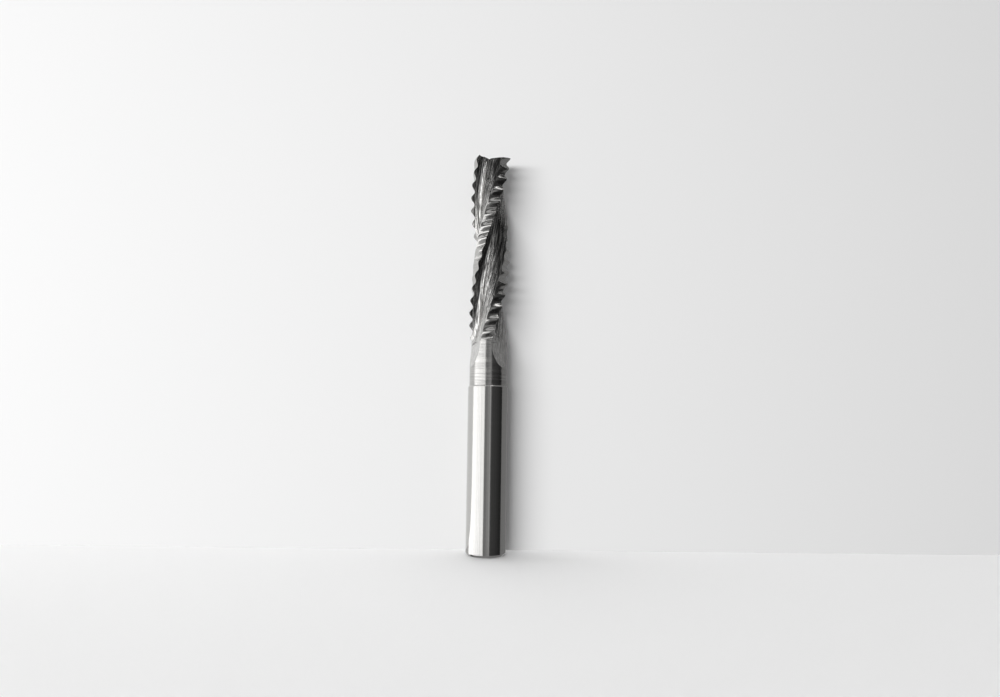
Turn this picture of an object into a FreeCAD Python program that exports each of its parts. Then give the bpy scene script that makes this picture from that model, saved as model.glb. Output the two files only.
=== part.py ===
"""Solid carbide roughing end mill: plain shank, ground neck and a three-flute head with wavy lands.

The tool stands on its shank end. The origin is the centre of that end and +Z runs along the axis to the tip.
All sizes are in millimetres and all angles in degrees.
"""

import FreeCAD
import Part
import math
import os

from FreeCAD import Vector

# Overall sizes
overall_length = 100.0
shank_diameter = 10.0
shank_length = 41.9
shank_chamfer = 0.6
neck_diameter = 9.36
head_diameter = 10.0
head_length = 46.9

# Helical flutes
flute_count = 3
helix_lead = 88.5
edge_angle_at_tip = -12.7
land_angle = 34.0
core_diameter = 4.6
rake_angle = 8.0
gullet_radius = 1.2
back_radius = 6.0

# Eccentric relief behind each cutting edge
relief_depth = 0.6
relief_angle_span = 50.0

# Rounded chip-breaker wave, one right-hand thread that runs over all the lands
wave_pitch = 2.95
wave_depth = 0.8
wave_crest_height = 2.65
wave_fade_angle = 42.0

# Run-out of each flute into the neck
lift_length = 7.5
flat_length = 6.1
flat_hollow = 0.25
join_drop = 0.6

# End teeth
dish_angle = 1.5
end_relief_angle = 13.0
gash_start_radius = 0.5
gash_start_depth = 0.45
gash_slope = 30.0
gash_rise = 20.0
gash_lead_angle = 1.5

# Stations for the formed surfaces
rows_per_wave = 5
lobe_columns = 5
flute_station_gap = 5.0
run_out_stations = 4
overshoot = 3.0
lobe_lead_angle = 4.0
lobe_tail_angle = 40.0
flattest_gullet = 0.02

shank_radius = shank_diameter / 2
neck_radius = neck_diameter / 2
head_radius = head_diameter / 2
core_radius = core_diameter / 2
head_bottom = overall_length - head_length
join_height = head_bottom - join_drop
flute_pitch_angle = 360.0 / flute_count


def polar(radius, angle, height=0.0):
    """A point at that radius and angle about the tool axis."""
    turn = math.radians(angle)
    return Vector(radius * math.cos(turn), radius * math.sin(turn), height)


def edge_angle(tooth, height):
    """The angle of a tooth's cutting edge at that height: a right-hand helix."""
    return edge_angle_at_tip + tooth * flute_pitch_angle + (height - overall_length) / helix_lead * 360.0


def relief_drop(behind):
    """How far the land has fallen at an angle behind the cutting edge: a parabola that levels off."""
    share = min(behind / relief_angle_span, 1.0)
    return relief_depth * (1 - (1 - share) ** 2)


def wave_drop(angle, height, behind):
    """Depth of the wave below its crest: a cosine along one right-hand thread, shallower towards the heel."""
    turns = (height - wave_crest_height) / wave_pitch - angle / 360.0
    depth = wave_depth * (1 - (behind / wave_fade_angle) ** 2)
    return depth / 2 * (1 - math.cos(2 * math.pi * turns))


def lobe_point(tooth, behind, height):
    angle = edge_angle(tooth, height) - behind
    return polar(head_radius - relief_drop(behind) - wave_drop(angle, height, behind), angle, height)


def spline_through(points, stations):
    """A smooth curve that passes each point at its own station."""
    curve = Part.BSplineCurve()
    curve.interpolate(Points=points, Parameters=stations)
    return curve


def lobe_surface(tooth, lags, heights):
    """The wavy, relieved outside of one tooth, from just ahead of its edge to well behind its heel."""
    columns = [spline_through([lobe_point(tooth, lag, z) for z in heights], heights) for lag in lags]
    rows = [spline_through(list(poles), lags) for poles in zip(*(column.getPoles() for column in columns))]
    surface = Part.BSplineSurface()
    surface.buildFromPolesMultsKnots(
        [list(poles) for poles in zip(*(row.getPoles() for row in rows))],
        rows[0].getMultiplicities(),
        columns[0].getMultiplicities(),
        rows[0].getKnots(),
        columns[0].getKnots(),
        False,
        False,
        rows[0].Degree,
        columns[0].Degree,
    )
    return surface


def bridge_surface(front, back):
    """The straight-ruled face from one lobe's front margin to the back margin of the next lobe."""
    surface = Part.BSplineSurface()
    surface.buildFromPolesMultsKnots(
        [front.getPoles()[0], back.getPoles()[-1]],
        [2, 2],
        front.getVMultiplicities(),
        [0.0, 1.0],
        front.getVKnots(),
        False,
        False,
        1,
        front.VDegree,
    )
    return surface


def head_blank():
    """The three wavy lobes, joined by plain faces where the flutes will be."""
    bottom, top = head_bottom, overall_length + overshoot
    rows = math.ceil((top - bottom) / wave_pitch * rows_per_wave)
    heights = [bottom + (top - bottom) * row / rows for row in range(rows + 1)]
    span = lobe_tail_angle + lobe_lead_angle
    lags = [span * column / (lobe_columns - 1) - lobe_lead_angle for column in range(lobe_columns)]
    lobes = [lobe_surface(tooth, lags, heights) for tooth in range(flute_count)]
    bridges = [bridge_surface(lobe, after) for lobe, after in zip(lobes, lobes[1:] + lobes[:1])]
    surfaces = lobes + bridges
    faces = [surface.toShape() for surface in surfaces]
    for height in (bottom, top):
        rim = Part.__sortEdges__([surface.vIso(height).toShape() for surface in surfaces])
        faces.append(Part.Face(Part.Wire(rim)))
    shell = Part.makeShell(faces)
    shell.sewShape()
    solid = Part.makeSolid(shell)
    if solid.Volume < 0:
        solid.reverse()
    return solid


def shank_and_neck():
    """The ground shank with a chamfer at its end and at its shoulder, and the slimmer neck."""
    outline = [
        (0, 0),
        (shank_radius - shank_chamfer, 0),
        (shank_radius, shank_chamfer),
        (shank_radius, shank_length - (shank_radius - neck_radius)),
        (neck_radius, shank_length),
        (neck_radius, head_bottom),
        (0, head_bottom),
        (0, 0),
    ]
    face = Part.Face(Part.makePolygon([Vector(radius, 0, height) for radius, height in outline]))
    return face.revolve(Vector(0, 0, 0), Vector(0, 0, 1), 360)


def circles_meet(first, first_radius, second, second_radius):
    """Where two circles in the XY plane meet, on the side nearer to the tool axis."""
    apart = second - first
    distance = apart.Length
    along = (first_radius**2 - second_radius**2 + distance**2) / (2 * distance)
    aside = math.sqrt(first_radius**2 - along**2)
    line = apart / distance
    foot = first + line * along
    sideways = Vector(-line.y, line.x, 0) * aside
    return min((foot + sideways, foot - sideways), key=lambda point: point.Length)


def flute_section():
    """The flute's cross-section with its tooth edge on +X: rake line, gullet arc and convex back arc.

    Returns the three edges, the heel point and the direction square to the chord from edge to heel.
    """
    edge = polar(head_radius, 0)
    heel_angle = flute_pitch_angle - land_angle
    heel = polar(head_radius - relief_drop(land_angle), heel_angle)
    inward = polar(-1, rake_angle)
    ahead = polar(1, rake_angle + 90)
    reach = core_radius + gullet_radius
    start = edge + ahead * gullet_radius
    half = start.dot(inward)
    rake_length = -half - math.sqrt(half**2 - start.Length**2 + reach**2)
    gullet_centre = start + inward * rake_length
    back_centre = circles_meet(heel, back_radius, gullet_centre, back_radius + gullet_radius)
    rake_end = gullet_centre - ahead * gullet_radius
    back_start = back_centre + (gullet_centre - back_centre).normalize() * back_radius
    gullet_middle = gullet_centre + (rake_end + back_start - gullet_centre * 2).normalize() * gullet_radius
    to_heel = math.degrees(math.atan2(heel.y - back_centre.y, heel.x - back_centre.x))
    to_start = math.degrees(math.atan2(back_start.y - back_centre.y, back_start.x - back_centre.x))
    beyond = to_heel + math.degrees(overshoot / back_radius) / 2
    back_middle = back_centre + polar(back_radius, (to_start + beyond) / 2)
    back_end = back_centre + polar(back_radius, beyond)
    section = [
        Part.makeLine(edge - inward * overshoot / 2, rake_end),
        Part.Arc(rake_end, gullet_middle, back_start).toShape(),
        Part.Arc(back_start, back_middle, back_end).toShape(),
    ]
    chord = heel - edge
    square = Vector(chord.y, -chord.x, 0).normalize()
    return section, edge, square


def flattened(shape, edge, square, share):
    """The section squeezed towards its chord, so that the gullet keeps only that share of its depth."""
    squeeze = share - 1
    offset = square.dot(edge)
    matrix = FreeCAD.Matrix(
        1 + squeeze * square.x * square.x, squeeze * square.x * square.y, 0, -squeeze * offset * square.x,
        squeeze * square.x * square.y, 1 + squeeze * square.y * square.y, 0, -squeeze * offset * square.y,
        0, 0, 1, 0,
        0, 0, 0, 1,
    )
    return shape.transformGeometry(matrix)


def flute_wire(height, tooth):
    """The closed outline that the grinding wheel clears at that height."""
    section, edge, square = flute_section()
    lifted = max(0.0, (join_height + lift_length - height) / lift_length)
    share = max(flattest_gullet, 1 - lifted**2)
    edges = [flattened(part, edge, square, share) for part in section]
    first = edges[0].Vertexes[0].Point
    last = edges[-1].Vertexes[-1].Point
    outside = square * (head_radius + overshoot)
    along = Vector(-square.y, square.x, 0)
    corners = [
        last,
        outside + along * along.dot(last),
        outside + along * along.dot(first),
        first,
    ]
    edges += [Part.makeLine(a, b) for a, b in zip(corners, corners[1:])]
    wire = Part.Wire(edges)
    wire.rotate(Vector(0, 0, 0), Vector(0, 0, 1), edge_angle(tooth, height))
    wire.translate(Vector(0, 0, height))
    return wire


def flute_cutter(tooth):
    """The helical part of one flute, from its flat end at the neck to beyond the tip."""
    top = overall_length + overshoot
    lifted = join_height + lift_length
    heights = [join_height + lift_length * step / run_out_stations for step in range(run_out_stations)]
    steps = math.ceil((top - lifted) / flute_station_gap)
    heights += [lifted + (top - lifted) * step / steps for step in range(steps + 1)]
    return Part.makeLoft([flute_wire(height, tooth) for height in heights], True, False)


def tilted_prism(corners, floor, top):
    """A straight-sided block whose underside follows a sloping plane."""
    low = [Vector(p.x, p.y, floor(p)) for p in corners]
    high = [Vector(p.x, p.y, top) for p in corners]
    faces = [Part.Face(Part.makePolygon(low + low[:1])), Part.Face(Part.makePolygon(high + high[:1]))]
    for i in range(len(corners)):
        j = (i + 1) % len(corners)
        faces.append(Part.Face(Part.makePolygon([low[i], low[j], high[j], high[i], low[i]])))
    solid = Part.makeSolid(Part.makeShell(faces))
    if solid.Volume < 0:
        solid.reverse()
    return solid


def run_out_flat(tooth):
    """The hollow-ground facet on the neck where one flute ends: an arc that runs out along the neck."""
    _, edge, square = flute_section()
    turn = edge_angle(tooth, join_height)
    outward = FreeCAD.Rotation(Vector(0, 0, 1), turn).multVec(square)
    sideways = Vector(-outward.y, outward.x, 0)
    deep = square.dot(edge)
    slope = (neck_radius - deep) / flat_length
    low = join_height - flat_length - overshoot
    outer = head_radius + slope * overshoot + overshoot

    def at(radius, height):
        return outward * radius + Vector(0, 0, height) - sideways * (head_radius + overshoot)

    foot = at(neck_radius, join_height - flat_length)
    middle = at((neck_radius + deep) / 2 - flat_hollow, join_height - flat_length / 2)
    join = at(deep, join_height)
    sides = [join, at(outer, join_height), at(outer, low), at(neck_radius + slope * overshoot, low), foot]
    outline = [Part.Arc(foot, middle, join).toShape()]
    outline += [Part.makeLine(a, b) for a, b in zip(sides, sides[1:])]
    return Part.Face(Part.Wire(outline)).extrude(sideways * 2 * (head_radius + overshoot))


def end_flank_cutter(tooth):
    """What lies above one tooth's end flank: dished to the centre and relieved behind the end edge."""
    turn = edge_angle(tooth, overall_length)
    radial, ahead = polar(1, turn), polar(1, turn + 90)
    dish, relief = math.tan(math.radians(dish_angle)), math.tan(math.radians(end_relief_angle))

    def flank(point):
        return overall_length - (head_radius - radial.dot(point)) * dish + ahead.dot(point) * relief

    reach = head_radius + overshoot
    turns = [turn + gash_lead_angle - flute_pitch_angle * share for share in (0, 0.5, 1)]
    corners = [Vector(0, 0, 0)] + [polar(reach * 2, angle) for angle in turns]
    return tilted_prism(corners, flank, overall_length + 2 * overshoot)


def gash_cutter(tooth):
    """The gash ahead of one end edge, which opens the middle of the end face into the flute."""
    turn = edge_angle(tooth, overall_length)
    radial, ahead = polar(1, turn), polar(1, turn + 90)
    fall, rise = math.tan(math.radians(gash_slope)), math.tan(math.radians(gash_rise))

    def floor(point):
        outward = radial.dot(point) - gash_start_radius
        return overall_length - gash_start_depth - outward * fall + ahead.dot(point) * rise

    reach = head_radius + overshoot
    corners = [
        radial * -core_radius,
        radial * reach,
        radial * reach + ahead * reach,
        radial * -core_radius + ahead * reach,
    ]
    return tilted_prism(corners, floor, overall_length + 4 * overshoot)


def end_mill():
    blank = head_blank().fuse(shank_and_neck())
    teeth = range(flute_count)
    fluted = blank.cut([flute_cutter(tooth) for tooth in teeth] + [run_out_flat(tooth) for tooth in teeth])
    flanked = fluted.cut([end_flank_cutter(tooth) for tooth in teeth])
    gashed = flanked.cut([gash_cutter(tooth) for tooth in teeth])
    return gashed.removeSplitter().Solids[0]


os.makedirs("parts", exist_ok=True)
tool = end_mill()
print("end_mill", "valid", tool.isValid(), "volume", round(tool.Volume, 1), "faces", len(tool.Faces))
tool.exportStep("parts/end_mill.step")
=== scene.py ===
import math
import bmesh
import bpy
import numpy as np
from mathutils import Matrix, Vector


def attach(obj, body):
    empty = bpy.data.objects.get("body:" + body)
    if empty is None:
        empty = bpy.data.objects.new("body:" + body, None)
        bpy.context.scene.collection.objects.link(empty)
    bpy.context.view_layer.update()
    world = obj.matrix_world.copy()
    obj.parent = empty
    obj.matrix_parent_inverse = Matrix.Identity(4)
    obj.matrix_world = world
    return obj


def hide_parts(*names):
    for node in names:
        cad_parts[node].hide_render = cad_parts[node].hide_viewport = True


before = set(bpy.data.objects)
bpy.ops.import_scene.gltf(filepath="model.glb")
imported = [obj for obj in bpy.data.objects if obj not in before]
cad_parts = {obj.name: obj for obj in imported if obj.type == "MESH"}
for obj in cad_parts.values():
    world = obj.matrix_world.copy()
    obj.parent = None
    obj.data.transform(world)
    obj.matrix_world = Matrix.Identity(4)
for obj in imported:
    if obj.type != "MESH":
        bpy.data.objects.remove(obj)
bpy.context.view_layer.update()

print("stage: frame loaded")

# what the ground surfaces follow, in metres and degrees: the same sizes as the solid's
toolForm = {
    "length": 0.100,
    "shankTop": 0.0419,         # the shoulder between shank and neck
    "neckRadius": 0.00468,
    "headBottom": 0.0531,
    "headRadius": 0.0050,       # over the crests of the wave
    "helixLead": 0.0885,        # right-hand
    "edgeAtTip": -12.7,         # angle of the first cutting edge at the tip
    "toothCount": 3,
    "landAngle": 34.0,
    "reliefDepth": 0.0006,
    "reliefSpan": 50.0,
    "wavePitch": 0.00295,
    "waveDepth": 0.0008,
    "waveCrest": 0.00265,
    "waveFade": 42.0,
}

# how the solid's facets are told apart: lengths in metres, angles in degrees, the rest as shares
zoneLimits = {
    "mergeGap": 4e-7,
    "sharpAngle": 24.0,
    "levelGap": 1e-5,
    "turnedOutward": 0.995,     # how squarely the neck's facets face away from the axis
    "neckShare": 0.985,         # of the neck's radius
    "landMargin": 3.0,
    "landGap": 6e-5,            # from the worked-out land radius
    "landOutward": 0.3,
    "endUpward": 0.6,
    "endDepth": 0.003,
    "landMatch": 0.8,           # how well a worked-out normal has to match its facet
}

# how the ground carbide looks; marks are given by their spacing and height in millimetres, how often they change
# in a metre of their length, the share of the colour that painted shade takes away in their grooves, and the roughness
# that they run through
carbideLook = {
    "metal": "#C9C8C6",
    "litFluteMetal": "#E4E3E1",    # a lighter copy of the same carbide: painted brighter reflection on the flute between its marks
    # a centreless wheel's marks are about 0.02 mm apart, drawn coarser so that they show
    "shank": {"spacing": 0.12, "height": 0.004, "changes": 60.0, "grooveShade": 0.05, "roughness": (0.09, 0.14)},
    # the step of the neck's wheel
    "neck": {"spacing": 0.50, "height": 0.060, "changes": 90.0, "grooveShade": 0.22, "roughness": (0.12, 0.24)},
    # a flute wheel's grit lines are about 0.05 mm apart, drawn coarser so that they show
    "flute": {"spacing": 0.30, "height": 0.12, "changes": 260.0, "grooveShade": 0.88, "roughness": (0.10, 0.22)},
    # the same marks where the flute runs out beside the neck, and how far from the head's lower end they change
    "runOut": {"height": 0.05, "grooveShade": 0.30, "from": -0.002, "to": 0.008},
    # marks of the form wheel and of the end wheel, drawn coarser so that they show
    "land": {"spacing": 0.25, "height": 0.025, "changes": 250.0, "grooveShade": 0.15, "roughness": (0.14, 0.26)},
    "end": {"spacing": 0.25, "height": 0.025, "changes": 300.0, "grooveShade": 0.15, "roughness": (0.14, 0.26)},
}


# sRGB hex colour to Blender's linear colour
def linearColour(hexText):
    values = [int(hexText[i:i + 2], 16) / 255 for i in (1, 3, 5)]
    return tuple(v / 12.92 if v <= 0.04045 else ((v + 0.055) / 1.055) ** 2.4 for v in values) + (1.0,)


# adds one node; settings go on the node, values and links go on its input sockets, named, or numbered as i0, i1
def addNode(tree, kind, settings=None, **inputs):
    node = tree.nodes.new(kind)
    for name, value in (settings or {}).items():
        setattr(node, name, value)
    for name, value in inputs.items():
        byNumber = name[0] == "i" and name[1:].isdigit()
        socket = node.inputs[int(name[1:]) if byNumber else name.replace("_", " ")]
        if isinstance(value, bpy.types.NodeSocket):
            tree.links.new(value, socket)
        else:
            socket.default_value = value
    return node


# angle of a point behind the nearest cutting edge, 0 at the edge and growing towards the heel
def lagBehindEdge(angle, z, form):
    step = 360.0 / form["toothCount"]
    edge = form["edgeAtTip"] + (z - form["length"]) / form["helixLead"] * 360.0
    return np.mod(edge - angle, step)


# radius of the land: crest radius, less a parabola of relief, less a cosine wave along one right-hand thread
def landRadius(angle, z, form):
    lag = lagBehindEdge(angle, z, form)
    share = np.minimum(lag / form["reliefSpan"], 1.0)
    relief = form["reliefDepth"] * (1 - (1 - share) ** 2)
    turns = (z - form["waveCrest"]) / form["wavePitch"] - angle / 360.0
    depth = form["waveDepth"] * np.maximum(1 - (lag / form["waveFade"]) ** 2, 0)
    return form["headRadius"] - relief - depth / 2 * (1 - np.cos(2 * np.pi * turns))


# the zones of the ground tool, in the order of its material slots
shankZone, neckZone, fluteZone, landZone, endZone = range(5)


# finds each facet's zone from where it lies and which way it faces
def facetZones(centres, normals, form, limits):
    x, y, z = centres.T
    radius = np.hypot(x, y)
    angle = np.degrees(np.arctan2(y, x))
    zone = np.full(len(z), fluteZone)
    shankEnd = form["shankTop"] - limits["levelGap"]
    zone[z < shankEnd] = shankZone
    outward = (normals[:, 0] * x + normals[:, 1] * y) / np.maximum(radius, 1e-9)
    turned = (outward > limits["turnedOutward"]) & (radius > form["neckRadius"] * limits["neckShare"])
    zone[(z > shankEnd) & (z < form["headBottom"]) & turned] = neckZone
    lag = lagBehindEdge(angle, z, form)
    gap = np.abs(radius - landRadius(angle, z, form))
    onLand = (z > form["headBottom"]) & (lag < form["landAngle"] + limits["landMargin"])
    onLand &= (gap < limits["landGap"]) & (outward > limits["landOutward"])
    zone[onLand] = landZone
    nearTip = z > form["length"] - limits["endDepth"]
    zone[(normals[:, 2] > limits["endUpward"]) & nearTip & ~onLand] = endZone
    return zone


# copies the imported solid, joins its loose triangles and keeps its ground edges crisp
def buildTool(form, limits):
    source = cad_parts["end_mill"]
    mesh = source.data.copy()
    mesh.name = "endMill"
    mesh.materials.clear()
    work = bmesh.new()
    work.from_mesh(mesh)
    bmesh.ops.remove_doubles(work, verts=work.verts, dist=limits["mergeGap"])
    bmesh.ops.dissolve_degenerate(work, edges=work.edges, dist=limits["mergeGap"])
    work.to_mesh(mesh)
    work.free()
    count = len(mesh.polygons)
    centres, normals = np.empty(count * 3), np.empty(count * 3)
    mesh.polygons.foreach_get("center", centres)
    mesh.polygons.foreach_get("normal", normals)
    zone = facetZones(centres.reshape(-1, 3), normals.reshape(-1, 3), form, limits)
    mesh.polygons.foreach_set("material_index", zone.astype(np.int32))
    mesh.polygons.foreach_set("use_smooth", np.ones(count, dtype=bool))
    mesh.set_sharp_from_angle(angle=math.radians(limits["sharpAngle"]))
    trueNormals(mesh, zone, normals.reshape(-1, 3), form, limits)
    piece = bpy.data.objects.new("endMill", mesh)
    bpy.context.scene.collection.objects.link(piece)
    print("stage: tool copied,", count, "facets, by zone", np.bincount(zone, minlength=5))
    return piece


# gives each facet corner the normal of the real surface: on turned parts the way out from the axis with the
# facet's own slope, on the lands the way out less the land radius's change around and along the tool
def trueNormals(mesh, zone, flat, form, limits):
    corners = len(mesh.loops)
    faceOf = np.repeat(np.arange(len(zone)), 3)
    vertexOf, edgeOf = np.empty(corners, dtype=np.int32), np.empty(corners, dtype=np.int32)
    mesh.loops.foreach_get("vertex_index", vertexOf)
    mesh.loops.foreach_get("edge_index", edgeOf)
    lowZone, highZone = np.full(len(mesh.edges), endZone), np.zeros(len(mesh.edges), dtype=int)
    np.minimum.at(lowZone, edgeOf, zone[faceOf])
    np.maximum.at(highZone, edgeOf, zone[faceOf])
    crisp = np.empty(len(mesh.edges), dtype=bool)
    mesh.edges.foreach_get("use_edge_sharp", crisp)
    mesh.edges.foreach_set("use_edge_sharp", crisp | (lowZone != highZone))
    out = np.empty(corners * 3)
    mesh.corner_normals.foreach_get("vector", out)
    out = out.reshape(-1, 3)
    at = np.empty(len(mesh.vertices) * 3)
    mesh.vertices.foreach_get("co", at)
    at = at.reshape(-1, 3)[vertexOf]
    angle, radius = np.arctan2(at[:, 1], at[:, 0]), np.hypot(at[:, 0], at[:, 1])
    outward = np.stack([np.cos(angle), np.sin(angle), np.zeros(corners)], axis=1)
    around = np.stack([-np.sin(angle), np.cos(angle), np.zeros(corners)], axis=1)
    upward = np.array([0.0, 0.0, 1.0])
    slope = flat[faceOf, 2:3]
    turned = np.isin(zone[faceOf], (shankZone, neckZone)) & (radius > 1e-4)
    out[turned] = (outward * np.sqrt(1 - slope ** 2) + upward * slope)[turned]
    degrees, height = np.degrees(angle), at[:, 2]
    turn, lift = 0.01, 1e-6     # the small steps, in degrees and metres, that the land's slopes are taken over
    byAngle = landRadius(degrees + turn, height, form) - landRadius(degrees - turn, height, form)
    byAngle /= 2 * math.radians(turn)
    byHeight = (landRadius(degrees, height + lift, form) - landRadius(degrees, height - lift, form)) / (2 * lift)
    lands = outward - around * (byAngle / radius.clip(1e-3))[:, None] - upward * byHeight[:, None]
    lands /= np.linalg.norm(lands, axis=1)[:, None]
    onLand = (zone[faceOf] == landZone) & (np.sum(lands * flat[faceOf], axis=1) > limits["landMatch"])
    out[onLand] = lands[onLand]
    mesh.normals_split_custom_set(out)


# the plain start of a ground metal; its grinding marks are added to it
def groundMetal(name, colour):
    material = bpy.data.materials.new(name)
    material.use_nodes = True
    tree = material.node_tree
    shader = tree.nodes["Principled BSDF"]
    shader.inputs["Metallic"].default_value = 1.0
    shader.inputs["Base Color"].default_value = linearColour(colour)
    return material, tree, shader


# adds marks to a ground metal: noise stretched by its scale, as a bump, a change of roughness and painted shade
# that darkens the metal's colour in the grooves; the darkest share is the share of the colour that the painted shade
# leaves in the deepest groove
def groundMarksAndShade(tree, shader, place, scale, height, darkestGrooveShade, rough):
    stretched = addNode(tree, "ShaderNodeMapping", Vector=place, Scale=scale).outputs[0]
    noise = addNode(tree, "ShaderNodeTexNoise", Vector=stretched, Scale=1.0, Detail=3.0, Roughness=0.65)
    marks = noise.outputs["Fac"]
    bump = addNode(tree, "ShaderNodeBump", Strength=1.0, Distance=height, Height=marks)
    tree.links.new(bump.outputs["Normal"], shader.inputs["Normal"])
    vary = addNode(tree, "ShaderNodeMapRange", Value=marks, i1=0.35, i2=0.65, i3=rough[0], i4=rough[1])
    tree.links.new(vary.outputs[0], shader.inputs["Roughness"])
    metal = shader.inputs["Base Color"].default_value
    # painted shade: the metal's colour is darkened in the grooves between the marks, down to the darkest share
    depth = addNode(tree, "ShaderNodeMapRange", Value=marks, i1=0.42, i2=0.60, i3=darkestGrooveShade, i4=1.0).outputs[0]
    colour = addNode(tree, "ShaderNodeVectorMath", {"operation": "SCALE"}, i0=metal[:3], Scale=depth).outputs[0]
    tree.links.new(colour, shader.inputs["Base Color"])


# a surface with marks in rings round the axis (across Z) or in straight lines (across X)
def markedMetal(name, look, part, across):
    material, tree, shader = groundMetal(name, look["metal"])
    place = addNode(tree, "ShaderNodeTexCoord").outputs["Object"]
    marks = look[part]
    scale = [marks["changes"]] * 3
    scale["XYZ".index(across)] = 1000.0 / marks["spacing"]
    groundMarksAndShade(tree, shader, place, scale, marks["height"] / 1000, 1 - marks["grooveShade"], marks["roughness"])
    return material


# flute ground along the helix: the cross-section is turned back with the helix, so the streaks run along the
# flute; they grow fainter down the run-out, where the wheel lifted out
def fluteMaterial(look, form):
    # a lighter copy of the carbide: painted brighter reflection on the flutes, with painted shade in their grooves
    material, tree, shader = groundMetal("tungstenCarbideFluteGroundPaintedLight", look["litFluteMetal"])
    marks, runOut = look["flute"], look["runOut"]
    place = addNode(tree, "ShaderNodeTexCoord").outputs["Object"]
    height = addNode(tree, "ShaderNodeSeparateXYZ", Vector=place).outputs["Z"]
    perMetre = -2 * math.pi / form["helixLead"]
    turn = addNode(tree, "ShaderNodeMath", {"operation": "MULTIPLY"}, i0=height, i1=perMetre).outputs[0]
    straight = addNode(tree, "ShaderNodeVectorRotate", {"rotation_type": "Z_AXIS"}, Vector=place, Angle=turn).outputs[0]
    span = {"i1": form["headBottom"] + runOut["from"], "i2": form["headBottom"] + runOut["to"]}
    # the painted groove shade and the marks' height grow fainter down the run-out
    darkestGrooveShade = addNode(tree, "ShaderNodeMapRange", Value=height, **span, i3=1 - runOut["grooveShade"], i4=1 - marks["grooveShade"])
    rise = addNode(tree, "ShaderNodeMapRange", Value=height, **span, i3=runOut["height"] / 1000,
                   i4=marks["height"] / 1000)
    lines = 1000.0 / marks["spacing"]
    groundMarksAndShade(tree, shader, straight, (lines, lines, marks["changes"]), rise.outputs[0], darkestGrooveShade.outputs[0],
                marks["roughness"])
    return material


tool = buildTool(toolForm, zoneLimits)
groundSurfaces = [
    # cylindrically ground shank: near-mirror, with very fine rings that soften the edges of the stripes and a little
    # painted shade in their grooves
    markedMetal("tungstenCarbideCentrelessGround", carbideLook, "shank", "Z"),
    # ground neck: the wheel stepped down the tool and left rings that show as fine level lines, with painted shade in
    # their grooves
    markedMetal("tungstenCarbideNeckGround", carbideLook, "neck", "Z"),
    # ground flutes: streaked, with painted shade in the grooves between lines of painted brighter reflection
    fluteMaterial(carbideLook, toolForm),
    # form-relieved lands: the form wheel's faint marks run around the tool, with a little painted shade in their
    # grooves
    markedMetal("tungstenCarbideFormGround", carbideLook, "land", "Z"),
    # end teeth, ground straight across the tip, with a little painted shade in the grooves of their marks
    markedMetal("tungstenCarbideEndGround", carbideLook, "end", "X"),
]
for material in groundSurfaces:
    tool.data.materials.append(material)
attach(tool, "root")
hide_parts("end_mill")
print("stage: materials set")

# the paper, the lamps and the cards that the ground metal mirrors, in metres and degrees
studio = {
    "floorPaper": "#F2F2F2",
    "floorReach": 3.0,          # from the tool to the floor's edges
    "wallPaper": "#F2F2F2",
    "wallDistance": 0.0056,     # behind the tool's axis
    "wallReach": 1.5,
    "wallHeight": 1.2,
    "worldLight": 0.28,
    "background": 0.60,         # the room's brightness as the camera and the metal see it
    "lampAim": (0.0, 0.0, 0.05),
    "lampAt": (-0.36, -0.60, 0.06),
    "lampSize": (0.62, 0.12),
    "lampPower": 4.2,
    "topLampAt": (-0.15, 0.14, 0.95),
    "topLampSize": (0.60, 0.60),
    "topLampPower": 4.7,
    # bent cards: from and to angle (0 is the camera's side, left is less), radius, bottom, top, brightness at both ends
    "brightCard": (-112, -17, 0.60, -0.14, 0.30, 2.15, 1.40),
    "upperCard": (-112, 19, 0.60, 0.30, 0.90, 0.16, 0.08),
    "greyCard": (-17, 19, 0.60, -0.14, 0.30, 0.17, 0.44),
    "darkCard": (19, 92, 0.60, -0.14, 1.20, 0.080, 0.016),
    "lowDarkCard": (19, 92, 0.60, -0.60, -0.14, 0.020, 0.010),
    "lowCard": (-130, 19, 0.60, -0.60, -0.14, 0.70, 0.06),
    "cardColumns": 25,
    "streakShare": 0.45,        # by which their brightness changes in upright streaks
    "streakScale": 0.22,        # streaks in a degree
    # level cards: x and y from and to, height, brightness
    "highCard": (0.22, 0.42, -0.30, -0.06, 0.95, 2.4),
    "footCard": (-0.75, 0.75, -0.10, 0.45, -0.59, 0.30),
    "underCard": (-0.75, 0.75, -0.75, 0.75, -0.60, 0.02),
    # standing card for the paper on the tool's shaded side: x from and to, y, bottom, top, brightness
    "shadowCard": (0.006, 0.60, 0.0055, -0.10, 0.20, 0.24),
}


# puts a stage mesh in the scene
def addStage(name, points, faces, material):
    mesh = bpy.data.meshes.new(name)
    mesh.from_pydata(points, [], faces)
    mesh.materials.append(material)
    sheet = bpy.data.objects.new(name, mesh)
    bpy.context.scene.collection.objects.link(sheet)
    return sheet


# matt white paper; one-sided paper is clear from its back, so it never stands between a camera and the tool
def paperMaterial(name, colour, oneSided):
    material = bpy.data.materials.new(name)
    material.use_nodes = True
    tree = material.node_tree
    shader = tree.nodes["Principled BSDF"]
    shader.inputs["Base Color"].default_value = linearColour(colour)
    shader.inputs["Roughness"].default_value = 0.9
    shader.inputs["Specular IOR Level"].default_value = 0.1
    if oneSided:
        back = addNode(tree, "ShaderNodeNewGeometry").outputs["Backfacing"]
        clear = addNode(tree, "ShaderNodeBsdfTransparent")
        mix = addNode(tree, "ShaderNodeMixShader", i0=back, i1=shader.outputs[0], i2=clear.outputs[0])
        tree.links.new(mix.outputs[0], tree.nodes["Material Output"].inputs["Surface"])
    return material


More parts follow.
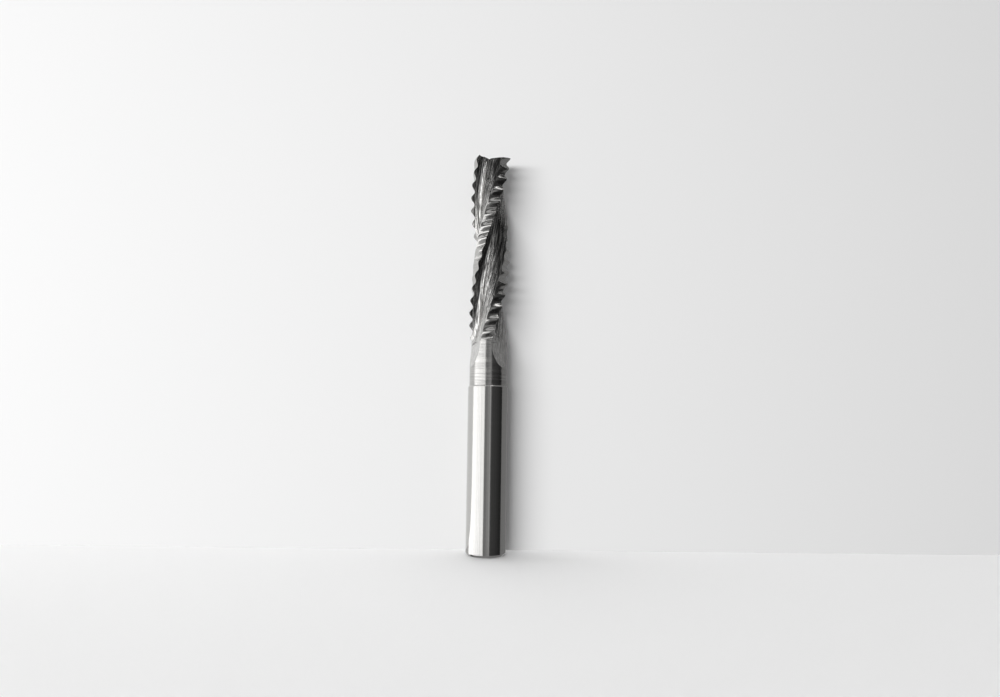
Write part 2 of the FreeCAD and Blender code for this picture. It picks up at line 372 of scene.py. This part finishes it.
# a glowing material
def glowMaterial(name, brightness):
    material = bpy.data.materials.new(name)
    material.use_nodes = True
    tree = material.node_tree
    glow = addNode(tree, "ShaderNodeEmission", Strength=brightness)
    tree.links.new(glow.outputs[0], tree.nodes["Material Output"].inputs["Surface"])
    return material, tree, glow


# puts a card in the scene that only the metal's mirroring sees
def addCard(name, points, faces, material):
    card = addStage(name, points, faces, material)
    card.visible_camera = card.visible_diffuse = card.visible_shadow = card.visible_transmission = False
    return card


# a card bent round the tool, an arc of a standing cylinder; its brightness runs evenly from one end to the other
# and is broken into upright streaks, as a real room's mirror image is
def bentCard(name, fromAngle, toAngle, radius, bottom, top, fromGlow, toGlow):
    count, share, span = studio["cardColumns"], studio["streakShare"], float(toAngle - fromAngle)
    angle = np.radians(np.linspace(fromAngle, toAngle, count))
    x, y = radius * np.sin(angle), -radius * np.cos(angle)
    points = np.concatenate([np.stack([x, y, np.full(count, z)], axis=1) for z in (bottom, top)])
    faces = [(i, i + 1, i + count + 1, i + count) for i in range(count - 1)]
    material, tree, glow = glowMaterial(name, 1.0)
    card = addCard(name, points.tolist(), faces, material)
    along = card.data.attributes.new("along", "FLOAT", "POINT")     # angle from one end, in degrees
    along.data.foreach_set("value", np.tile(np.linspace(0, span, count), 2))
    place = addNode(tree, "ShaderNodeAttribute", {"attribute_name": "along"}).outputs["Fac"]
    ramp = addNode(tree, "ShaderNodeMapRange", Value=place, i1=0.0, i2=span, i3=fromGlow, i4=toGlow)
    noise = addNode(tree, "ShaderNodeTexNoise", {"noise_dimensions": "1D"}, W=place, Scale=studio["streakScale"],
                    Detail=4.0, Roughness=0.75)
    streak = addNode(tree, "ShaderNodeMapRange", Value=noise.outputs["Fac"], i1=0.3, i2=0.7, i3=1 - share, i4=1 + share)
    level = addNode(tree, "ShaderNodeMath", {"operation": "MULTIPLY"}, i0=ramp.outputs[0], i1=streak.outputs[0])
    tree.links.new(level.outputs[0], glow.inputs["Strength"])


def levelCard(name, fromX, toX, fromY, toY, height, brightness):
    points = [(fromX, fromY, height), (toX, fromY, height), (toX, toY, height), (fromX, toY, height)]
    addCard(name, points, [(0, 1, 2, 3)], glowMaterial(name, brightness)[0])


def standingCard(name, fromX, toX, y, bottom, top, brightness):
    points = [(fromX, y, bottom), (toX, y, bottom), (toX, y, top), (fromX, y, top)]
    addCard(name, points, [(0, 1, 2, 3)], glowMaterial(name, brightness)[0])


# the pale room: a plain level of light, and the same pale tone to the eye and in the metal
def buildWorld(s):
    world = bpy.data.worlds.new("studioWorld")
    world.use_nodes = True
    tree = world.node_tree
    ray = addNode(tree, "ShaderNodeLightPath")
    seen = ray.outputs["Is Camera Ray"]
    for kind in ("Is Glossy Ray", "Is Transmission Ray"):
        seen = addNode(tree, "ShaderNodeMath", {"operation": "MAXIMUM"}, i0=seen, i1=ray.outputs[kind]).outputs[0]
    level = addNode(tree, "ShaderNodeMix", {"data_type": "FLOAT"}, i0=seen, i2=s["worldLight"], i3=s["background"])
    tree.links.new(level.outputs[0], tree.nodes["Background"].inputs["Strength"])
    tree.nodes["Background"].inputs["Color"].default_value = (1, 1, 1, 1)
    bpy.context.scene.world = world


# a soft lamp that faces the tool; the cards stand for its mirror image in the metal
def softLamp(name, place, size, power):
    data = bpy.data.lights.new(name, "AREA")
    data.shape = "RECTANGLE"
    data.size, data.size_y = size
    data.energy = power
    lamp = bpy.data.objects.new(name, data)
    bpy.context.scene.collection.objects.link(lamp)
    aim = Vector(studio["lampAim"]) - Vector(place)
    lamp.matrix_world = Matrix.Translation(place) @ aim.to_track_quat("-Z", "Y").to_matrix().to_4x4()
    lamp.visible_glossy = False


def buildStage(s):
    r = s["floorReach"]
    floor = addStage("floor", [(-r, -r, 0), (r, -r, 0), (r, r, 0), (-r, r, 0)], [(0, 1, 2, 3)],
                     paperMaterial("paperFloor", s["floorPaper"], False))
    floor.visible_glossy = floor.visible_diffuse = False
    r, y, top = s["wallReach"], s["wallDistance"], s["wallHeight"]
    wall = addStage("backdrop", [(-r, y, 0), (r, y, 0), (r, y, top), (-r, y, top)], [(0, 1, 2, 3)],
                    paperMaterial("paperBackdrop", s["wallPaper"], True))
    wall.visible_shadow = False
    for name in ("brightCard", "upperCard", "greyCard", "darkCard", "lowDarkCard", "lowCard"):
        bentCard(name, *s[name])
    for name in ("highCard", "footCard", "underCard"):
        levelCard(name, *s[name])
    standingCard("shadowCard", *s["shadowCard"])


buildStage(studio)
buildWorld(studio)
softLamp("leftLamp", studio["lampAt"], studio["lampSize"], studio["lampPower"])
softLamp("topLamp", studio["topLampAt"], studio["topLampSize"], studio["topLampPower"])
print("stage: paper, cards, world and lamp set")

# the photograph's camera, close to the tool and below its middle, in metres, degrees and pixels
camera = {
    "imageWidth": 1000,
    "imageHeight": 697,
    "focalPixels": 656.0,       # focal length
    "sensorWidth": 36.0,        # in millimetres
    "clip": (0.005, 10.0),
    "distance": 0.165,          # from the tool's axis
    "height": 0.0335,           # above the floor
    "pitch": 3.0,               # degrees up
    "roll": 0.8,                # degrees, the tool leans right in the picture
    "axisAtHeight": (488.0, 419.5),   # where the axis passes the camera's height in the picture
}


def placeCamera(c):
    data = bpy.data.cameras.new("cameraPhoto")
    data.sensor_fit = "HORIZONTAL"
    data.sensor_width = c["sensorWidth"]
    data.lens = c["focalPixels"] * c["sensorWidth"] / c["imageWidth"]
    data.clip_start, data.clip_end = c["clip"]
    eye = bpy.data.objects.new("cameraPhoto", data)
    bpy.context.scene.collection.objects.link(eye)
    px, py = c["axisAtHeight"]
    pitch = math.radians(c["pitch"])
    principalY = py - c["focalPixels"] * math.tan(pitch)
    yaw = math.atan((c["imageWidth"] / 2 - px) * math.cos(pitch) / c["focalPixels"])
    data.shift_y = (principalY - c["imageHeight"] / 2) / c["imageWidth"]
    turn = (
        Matrix.Rotation(-yaw, 4, "Z")
        @ Matrix.Rotation(math.pi / 2 + pitch, 4, "X")
        @ Matrix.Rotation(math.radians(c["roll"]), 4, "Z")
    )
    eye.matrix_world = Matrix.Translation((0.0, -c["distance"], c["height"])) @ turn
    bpy.context.scene.camera = eye


placeCamera(camera)
bpy.context.scene.view_settings.view_transform = "Standard"
print("stage: camera set")
